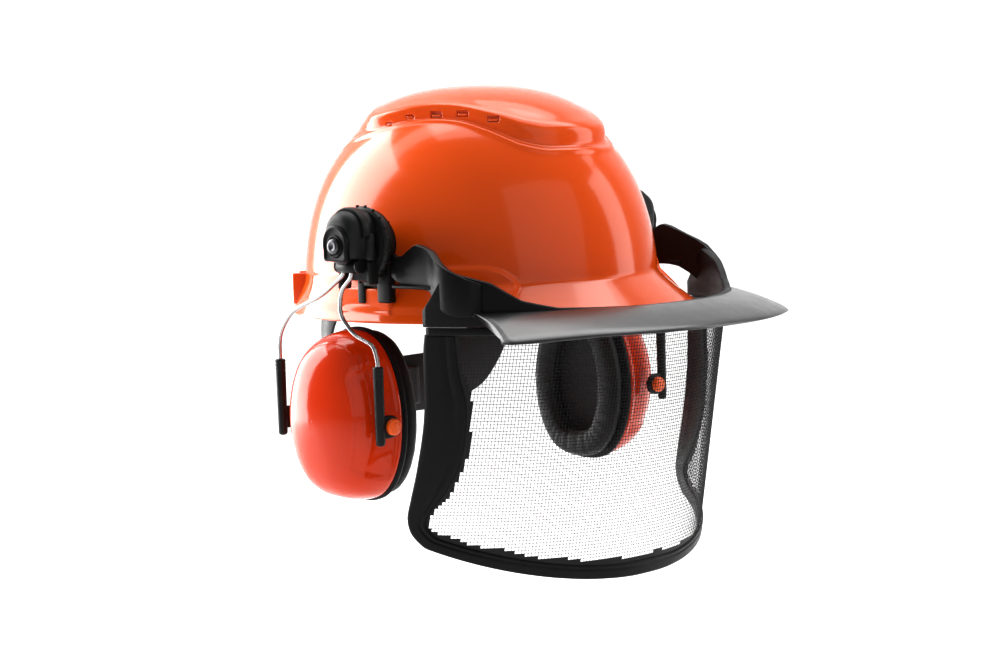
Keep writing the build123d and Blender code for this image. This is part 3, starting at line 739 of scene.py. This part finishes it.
def edge_line(side_pts, end):
    """Half of a boundary as (angle, z): down the side, round the corner, along the lower edge to the middle."""
    pts = smooth_path(side_pts, 8)
    ph = [float(angle_at(y, z)) for y, z in pts]
    line = [(a, z) for a, (y, z) in zip(ph, pts)]
    a0, z0 = line[-1]
    y0 = side_pts[-1][0]
    slope = (end[1] - z0) / (end[0] - y0)
    for a in np.linspace(a0, 0, 60)[1:]:
        z = z0
        for _ in range(6):
            y = visor_point(np.array(a), np.array(z))[1]
            z = max(end[1], z0 + slope * (y - y0))
        line.append((a, z))
    line = np.array(line)
    # round the corner a little and resample
    metric = line * np.array([125.0, 1.0])
    metric = resample(metric, 400)
    k = np.hanning(13)
    k /= k.sum()
    m = metric.copy()
    for c in (0, 1):
        m[6:-6, c] = np.convolve(metric[:, c], k, mode="valid")
    return m / np.array([125.0, 1.0])


F_REAR = [(-74, -4), (-72.5, -16), (-71, -50), (-65, -80), (-59, -102), (-57, -111), (-59, -120), (-66, -128)]
M_REAR = [(-92, -4), (-92.5, -25), (-95, -46), (-90, -76), (-80, -95), (-70, -108), (-68, -115),
          (-73, -121.5)]
half_o = edge_line(F_REAR, (-134, -153))
half_i = edge_line(M_REAR, (-134, -144))


def full(half):
    left = half[::-1][1:].copy()
    right = half.copy()
    right[:, 0] *= -1
    return np.concatenate([right, left])          # wearer's right side first


def pair_up(o, i, n):
    """Match the two boundaries by share of length, separately for the side and the lower run."""
    def parts(h):
        m = h * np.array([125.0, 1.0])
        k = int(np.argmin(m[:, 1] - m[:, 0] * 0.9))
        return m[:k + 1], m[k:]
    oa, ob = parts(o)
    ia, ib = parts(i)
    return (np.concatenate([resample(oa, n), resample(ob, n)[1:]]) / np.array([125.0, 1.0]),
            np.concatenate([resample(ia, n), resample(ib, n)[1:]]) / np.array([125.0, 1.0]))


po, pi_ = pair_up(half_o, half_i, 70)
O, I = full(po), full(pi_)
across = [(0.0, -1.5), (0.015, -1.0), (0.03, 0.0), (0.02, 0.9), (0.06, 1.5), (0.16, 1.6), (0.30, 1.6),
          (0.5, 1.6), (0.66, 1.6), (0.70, 1.2), (0.73, 1.15), (0.76, 1.5), (0.90, 1.5), (0.96, 1.2),
          (1.0, 0.5), (1.0, -0.6), (0.96, -1.2), (0.7, -1.5), (0.3, -1.5)]
loops = []
for (ao, zo), (ai, zi) in zip(O, I):
    q = []
    for w, o in across:
        a, z = ao + (ai - ao) * w, zo + (zi - zo) * w
        q.append(visor_point(np.array(a), np.array(z), 1.6 - o))
    loops.append(np.array(q))
piece("visor_edge_frame", *loft(loops), "black_plastic", "visor", ["visor_frame"])


def inside_mesh(a, z, grow):
    """Whether a place lies in the window that the frame leaves open, made larger by grow."""
    za = np.abs(a)
    zi, ai = half_i[:, 1], half_i[:, 0]
    k = int(np.argmin(zi - ai * 112.0))
    low = np.interp(za, ai[k:][::-1], zi[k:][::-1])
    edge = np.interp(-z, -zi[:k + 1], ai[:k + 1])
    return (z > low - grow) & (za < edge + grow / 125.0)


PITCH = 1.95
WIRE = 0.17


def flat_wire(points, normal, r):
    """A thin four-sided wire through many points, without end caps."""
    p = np.asarray(points)
    t = np.gradient(p, axis=0)
    t /= np.linalg.norm(t, axis=1)[:, None]
    n = normal - t * np.sum(normal * t, axis=1)[:, None]
    n /= np.linalg.norm(n, axis=1)[:, None]
    b = np.cross(t, n)
    return np.stack([p + r * n, p + r * b, p - r * n, p - r * b], 1)


def weave():
    verts, faces, k = [], [], 0
    step_a = PITCH / 123.5
    angles = np.arange(-int(1.16 / step_a), int(1.16 / step_a) + 1) * step_a
    heights = np.arange(-3.0, -152.0, -PITCH)
    def add(points, phase):
        nonlocal k
        if len(points) < 3:
            return
        p = np.array(points)
        n = p * np.array([1, 1, 0.0]) - np.array([0, BY * 0.6, 0])
        n /= np.linalg.norm(n, axis=1)[:, None]
        p = p + n * (phase[:len(p), None] * WIRE * 0.95)
        w = flat_wire(p, n, WIRE)
        m = len(p)
        verts.append(w.reshape(-1, 3))
        for j in range(m - 1):
            for i in range(4):
                faces.append((k + j * 4 + i, k + j * 4 + (i + 1) % 4, k + (j + 1) * 4 + (i + 1) % 4,
                              k + (j + 1) * 4 + i))
        k += m * 4
    for ia, a in enumerate(angles):
        z = heights
        ok = inside_mesh(np.full(len(z), a), z, 5.0)
        z2 = z[ok]
        if len(z2) < 3:
            continue
        pts = visor_point(np.full(len(z2), a), z2, 1.6)
        ph = np.where((np.arange(len(z))[ok] + ia) % 2 == 0, 1.0, -1.0)
        add(pts, ph)
    for iz, z in enumerate(heights):
        a = angles
        ok = inside_mesh(a, np.full(len(a), z), 5.0)
        a2 = a[ok]
        if len(a2) < 3:
            continue
        pts = visor_point(a2, np.full(len(a2), z), 1.6)
        ph = np.where((np.arange(len(angles))[ok] + iz) % 2 == 0, -1.0, 1.0)
        add(pts, ph)
    # moulded edging fills whole cells along the window's border, so its edge is stepped
    for i in range(len(angles) - 1):
        for j in range(len(heights) - 1):
            a, z = (angles[i] + angles[i + 1]) / 2, (heights[j] + heights[j + 1]) / 2
            wob = 0.8 * math.sin(a * 23) + 0.7 * math.sin(z * 0.21 + a * 3)
            if inside_mesh(np.array([a]), np.array([z]), 2.2)[0] and not inside_mesh(
                    np.array([a]), np.array([z]), -2.3 - wob)[0]:
                q = visor_point(np.array([angles[i], angles[i + 1], angles[i + 1], angles[i]]),
                                np.array([heights[j], heights[j], heights[j + 1], heights[j + 1]]), 1.6)
                n = q * np.array([1, 1, 0.0])
                n /= np.linalg.norm(n, axis=1)[:, None]
                block = np.concatenate([q + n * 0.42, q - n * 0.42])
                verts.append(block)
                for f in ((0, 1, 2, 3), (7, 6, 5, 4), (0, 4, 5, 1), (1, 5, 6, 2), (2, 6, 7, 3), (3, 7, 4, 0)):
                    faces.append(tuple(k + q_ for q_ in f))
                k += 8
    return np.concatenate(verts), faces


mv, mf = weave()
me = bpy.data.meshes.new("visor_weave")
me.from_pydata([tuple(float(c) * MM for c in v) for v in mv], [], mf)
ob = bpy.data.objects.new("visor_weave", me)
bpy.context.scene.collection.objects.link(ob)
dress(ob, "mesh_black")
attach(ob, "visor")
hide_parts("visor_mesh")

# bow round the front of the brim, deeper towards the arms
ph = np.linspace(-1.315, 1.315, 121)
plan = np.stack([BW * np.sin(ph), BY - BL * np.cos(ph)], 1)
nrm = plan_normals(plan, (0, BY))
top = np.interp(-plan[:, 1], [70, 74, 80, 86, 92, 112, 126, 140, 160, 170],
                [9, 10, 18, 28, 31, 25, 14.5, 10, 8.8, 8.5])
secs = [rrect(-4.4, 0.0, 0.1, z, 1.3, 4) for z in top]
bow = band(plan, nrm, secs)
arms = []
for s in (-1, 1):
    # faceted arm from the pivot ring to the bow
    px = np.array([-38.5, -43, -48, -53, -58, -61, -66, -70, -72.5, -78, -83.5, -90, -96, -100.5, -108])
    xx = np.array([106.0, 106.0, 106.2, 106.4, 106.6, 106.8, 107.0, 107.2, 107.5, 109.9, 112.3, 112.7, 110.3,
                   108.6, 104.0])
    zt = np.array([40.0, 38.5, 39.5, 42.5, 45.4, 46.2, 45.0, 43.4, 42.4, 39.4, 36.4, 33.0, 29.8, 27.6, 24.6])
    zb = np.array([27.0, 24.0, 22.6, 21.6, 21.2, 20.8, 20.4, 19.8, 19.2, 15.5, 11.0, 7.5, 6.0, 6.0, 6.5])
    hw = np.array([2.3] * 11 + [2.0, 1.7, 1.3, 0.9])
    path = np.stack([s * xx, px], 1)
    nr = plan_normals(path, (0, -60))
    arms.append(band(path, nr, [rrect(-k, k, b, t, 0.8, 3) for b, t, k in zip(zb, zt, hw)]))
    arms.append(lathe([(5.1, 105.8), (19.5, 105.8), (20, 106.2), (20, 110.5), (19.5, 110.9), (5.1, 110.9),
                       (5.1, 105.8)],
                      (0, HY, HZ), "x", 64, s))
    # stiffening rib on the arm's lower edge
    arms.append(rounded_box((6.2, 34, 2.4), (s * 107.6, -58, 21.8), 0.8, (0, 0, 0)))
piece("carrier_bow_and_arms", *join(bow, *arms), "black_plastic", "visor", ["visor_carrier"])

# clamp strip under the bow
ph = np.linspace(-1.30, 1.30, 121)
plan = np.stack([BW * np.sin(ph), BY - BL * np.cos(ph)], 1)
nrm = plan_normals(plan, (0, BY))
piece("mesh_clamp_strip", *band(plan, nrm, [rrect(-3.4, 0.0, -4.4, -0.1, 0.7, 3)] * len(plan)),
      "black_plastic", "visor", ["mesh_clamp"])

# sun peak: thin sheet, gently crowned, with a rolled outer edge
u = np.linspace(-1, 1, 141)
wv = np.concatenate([np.linspace(0, 0.93, 16), [0.955, 0.975, 0.99, 1.0]])
top_rows, low_rows = [], []
for w in wv:
    pi_in = u * math.radians(61.5)
    xi, yi = (BW + 0.35) * np.sin(pi_in), BY - (BL + 0.35) * np.cos(pi_in)
    corner = smoothstep((np.abs(u) - 0.955) / 0.045)
    po_out = u * math.radians(51.2)
    r = 157.2 - 3.2 * corner
    xo, yo = r * np.sin(po_out), BY - r * np.cos(po_out)
    x, y = xi + (xo - xi) * w, yi + (yo - yi) * w
    x -= np.sign(u) * 3.2 * np.sin(math.pi * w) * np.abs(u) ** 12
    z = 8.2 - 11.0 * w ** 1.12 + 0.9 * math.sin(math.pi * w) - 2.6 * w * smoothstep((np.abs(u) - 0.55) / 0.45)
    roll = 0.0 if w < 0.9 else -0.8 * (w - 0.9) / 0.1
    th = 0.85 if w < 0.97 else 0.75 * math.sqrt(max(0.02, 1 - ((w - 0.97) / 0.03) ** 2))
    top_rows.append(np.stack([x, y, z + roll + th], 1))
    low_rows.append(np.stack([x, y, z + roll - th], 1))
loops = []
for i in range(len(u)):
    loops.append(np.concatenate([[r_[i] for r_ in top_rows], [r_[i] for r_ in low_rows[::-1]]]))
piece("sun_peak_sheet", *loft(loops), "peak_black", "visor", ["sun_peak"])

# rivets
rv = []
for turn in (-52, -32, -11, 11, 32, 52):
    a = math.radians(turn)
    x, y = (BW + 0.3) * math.sin(a), BY - (BL + 0.3) * math.cos(a)
    prof = [(0.2, 1.5), (1.0, 1.35), (1.7, 0.9), (1.9, 0.3), (1.9, 0.0), (0, 0)]
    v, f = lathe(prof, (0, 0, 0), "y", 24, -1)
    rot = np.array([[math.cos(a), -math.sin(a), 0], [math.sin(a), math.cos(a), 0], [0, 0, 1]])
    rv.append((v @ rot.T + np.array([x, y, 2.4]), f))
piece("carrier_rivet_heads", *join(*rv), "screw_steel", "visor", ["carrier_rivets"])

# ------------------------------------------------------------------ head suspension
ph = np.linspace(-1.88, 1.88, 121)
def ring_plan(w, l, ph, yc=0.0):
    return np.stack([w * np.sin(ph), yc - l * np.cos(ph)], 1)


plan = ring_plan(79, 99, ph)
nrm = plan_normals(plan, (0, 0))
piece("headband_strip", *band(plan, nrm, [rrect(-1.8, 0, 7, 36, 0.8, 3)] * len(plan)), "band_plastic",
      "helmet", ["headband"])
ph = np.linspace(-1.25, 1.25, 150)
plan = ring_plan(76.4, 96.4, ph)
nrm = plan_normals(plan, (0, 0))
rows = []
for i, a in enumerate(ph):
    e = smoothstep((1.25 - abs(a)) / 0.06)
    ch = 0.45 * (0.5 + 0.5 * math.cos(a * 46)) * e
    base = rrect(-3.0 * (0.45 + 0.55 * e), 0.0, 5.4 + 1.2 * (1 - e), 35.4 - 1.2 * (1 - e), 1.5, 5)
    mid = np.exp(-((base[:, 1] - 20.5) / 9) ** 2)
    base[:, 0] -= np.where(base[:, 0] < -1.5, (0.5 * mid - ch) * e, 0)
    rows.append(base)
brow = piece("brow_pad", *band(plan, nrm, rows), "sweat_pad", "helmet", ["sweatband"], subsurf=1)


def webbing_strap(name, node, turn, reach, top_z):
    """Webbing arch with a thicker selvedge along both edges."""
    t = np.linspace(0, math.pi, 90)
    c, s_ = math.cos(math.radians(turn)), math.sin(math.radians(turn))
    loops = []
    for a in t:
        r, z = math.cos(a), math.sin(a)
        px, pz = (reach - 0.6) * r, 30 + (top_z - 30.6) * z
        n = np.array([r / (reach - 0.6), z / (top_z - 30.6)])
        n /= np.linalg.norm(n)
        sec = [(-10, -0.3), (-10, 0.3), (-9.6, 0.6), (-8.6, 0.6), (-8.3, 0.42), (8.3, 0.42), (8.6, 0.6),
               (9.6, 0.6), (10, 0.3), (10, -0.3), (9.6, -0.6), (8.6, -0.6), (8.3, -0.42), (-8.3, -0.42),
               (-8.6, -0.6), (-9.6, -0.6)]
        q = []
        for w, o in sec:
            d, h = px + n[0] * o, pz + n[1] * o
            q.append((d * c - w * s_, d * s_ + w * c, h))
        loops.append(np.array(q))
    piece(name, *loft(loops), "webbing", "helmet", [node])


webbing_strap("strap_long", "crown_strap_long", 90, 103, 106)
webbing_strap("strap_cross_a", "crown_strap_cross_a", 32, 86.5, 104)
webbing_strap("strap_cross_b", "crown_strap_cross_b", -32, 86.5, 102)

pad = rrect(-22, 22, -30, 30, 14, 8)
rows = []
for z, k in ((88.2, 0.90), (88.0, 0.97), (89.2, 1.0), (90.6, 1.0), (91.8, 0.96), (92.3, 0.86), (92.1, 0.6),
             (92.5, 0.3), (92.5, 0.05)):
    q = pad * k
    rows.append(np.stack([q[:, 0], q[:, 1], np.full(len(q), z)], 1))
cp = piece("crown_comfort_pad", *loft(rows), "sweat_pad", "helmet", ["crown_pad"], subsurf=1)


def nape_plan(inset):
    w, l = 82.2 - inset, 60.0 - inset
    a = np.linspace(0, math.pi, 90)
    back = np.stack([w * np.cos(a), 40 + l * np.sin(a)], 1)
    fore = np.linspace(-12, 40, 24, endpoint=False)
    return np.concatenate([np.stack([np.full(24, w), fore], 1), back,
                           np.stack([np.full(24, -w), fore[::-1]], 1)])


plan = nape_plan(0.95)
nrm = plan_normals(plan, (0, 20))
low = np.interp(plan[:, 1], [-14, 10, 38, 50, 58, 70, 88, 101], [13, 12, 4, -14, -38, -60, -75, -77])
hi = np.interp(plan[:, 1], [-14, 20, 48, 66, 80, 90, 101], [27, 27, 18, -6, -26, -37, -39])
k = np.hanning(9) / np.hanning(9).sum()
low[4:-4] = np.convolve(low, k, mode="valid")
hi[4:-4] = np.convolve(hi, k, mode="valid")
rows = []
for lo_, hi_ in zip(low, hi):
    q = rrect(-0.95, 0.95, lo_, hi_, 0.9, 3)
    rows.append(q)
piece("nape_strip", *band(plan, nrm, rows), "band_plastic", "nape", ["nape_band"])
a = np.linspace(-0.40, 0.40, 60)
plan = np.stack([78.4 * np.sin(a), 40 + 56.2 * np.cos(a)], 1)
nrm = plan_normals(plan, (0, 20))
rows = []
for t in a:
    e = smoothstep((0.40 - abs(t)) / 0.05)
    q = rrect(-2.9 * (0.5 + 0.5 * e), 0.0, -70.6, -45.4, 1.4, 5)
    ch = 0.4 * (0.5 + 0.5 * math.cos(t * 60)) * e
    q[:, 0] += np.where(q[:, 0] < -1.5, ch, 0)
    rows.append(q)
npd = piece("nape_comfort_pad", *band(plan, nrm, rows), "sweat_pad", "nape", ["nape_pad"], subsurf=1)

# CAD pieces that stay, with their finishes
for name, mat in (("suspension_clips", "band_plastic"), ("ratchet_housing", "black_plastic"),
                  ("ratchet_knob", "black_plastic")):
    dress(nodes[name], mat)
    mod = nodes[name].modifiers.new("bevel", "BEVEL")
    mod.width = 0.0003
    mod.segments = 2
    mod.limit_method = "ANGLE"
    mod.angle_limit = math.radians(45)

# ------------------------------------------------------------------ studio
FLOOR = -0.262


def pale(name, color):
    m = bpy.data.materials.new(name)
    m.use_nodes = True
    b = m.node_tree.nodes["Principled BSDF"]
    b.inputs["Base Color"].default_value = (*color, 1)
    b.inputs["Roughness"].default_value = 0.9
    b.inputs["Specular IOR Level"].default_value = 0.1
    return m


view_dir = Vector((0.7051, 0.7091, 0.0))
side_dir = Vector((0.7091, -0.7051, 0.0))
prof = [(-3.2, 0.0), (1.1, 0.0), (1.5, 0.02), (1.8, 0.10), (2.0, 0.26), (2.1, 0.5), (2.14, 0.9), (2.15, 3.2)]
me = bpy.data.meshes.new("sweep")
vs, fs = [], []
for d, h in prof:
    for w in (-4.5, 4.5):
        p = view_dir * d + side_dir * w
        vs.append((p.x, p.y, FLOOR + h))
for i in range(len(prof) - 1):
    fs.append((2 * i, 2 * i + 1, 2 * i + 3, 2 * i + 2))
me.from_pydata(vs, [], fs)
me.shade_smooth()
sweep = bpy.data.objects.new("sweep", me)
sweep.data.materials.append(pale("sweep_white", (0.93, 0.93, 0.93)))
bpy.context.scene.collection.objects.link(sweep)


def softbox(name, place, aim, size, power, spread=180):
    li = bpy.data.lights.new(name, "AREA")
    li.shape = "RECTANGLE"
    li.size, li.size_y = size
    li.energy = power
    li.spread = math.radians(spread)
    ob = bpy.data.objects.new(name, li)
    bpy.context.scene.collection.objects.link(ob)
    ob.location = place
    ob.rotation_euler = (Vector(aim) - Vector(place)).to_track_quat("-Z", "Y").to_euler()
    return ob


def at(back, side, up):
    """A place given by distance beyond the object, to the viewer's right, and height."""
    return tuple(view_dir * back + side_dir * side + Vector((0, 0, up)))


softbox("box_left", at(0.60, -1.20, 0.35), (0, 0, 0.02), (1.15, 1.6), 50)
softbox("box_top", at(0.35, 0.1, 1.35), (0, 0, 0.02), (1.5, 1.0), 14)
softbox("box_right", at(0.10, 1.45, 0.45), (0, 0, 0), (0.6, 1.3), 9)
softbox("box_fill", at(-1.5, 0.75, 0.75), (0, 0, 0), (1.8, 1.8), 8)
softbox("box_backdrop", at(0.95, 0.0, 2.5), at(2.0, 0.0, 0.1), (5.6, 1.0), 46)

world = bpy.data.worlds.new("studio_world")
bpy.context.scene.world = world
world.use_nodes = True
bg = world.node_tree.nodes["Background"]
bg.inputs["Color"].default_value = (1, 1, 1, 1)
bg.inputs["Strength"].default_value = 0.30
sc = bpy.context.scene
sc.view_settings.view_transform = "Standard"
sc.view_settings.look = "None"
sc.view_settings.exposure = 0.0
sc.view_settings.gamma = 0.84

cam = bpy.data.cameras.new("camera")
cam.lens, cam.sensor_width = 80.64, 36.0
cam.clip_start, cam.clip_end = 0.05, 30
camera = bpy.data.objects.new("camera", cam)
right, up, ahead = ((0.70711, -0.70635, -0.032816), (0.089845, 0.043715, 0.99499),
                    (0.70137, 0.706511, -0.094373))
camera.matrix_world = Matrix(((right[0], up[0], -ahead[0], -0.97454), (right[1], up[1], -ahead[1], -0.99866),
                              (right[2], up[2], -ahead[2], 0.11554), (0, 0, 0, 1)))
sc.collection.objects.link(camera)
sc.camera = camera
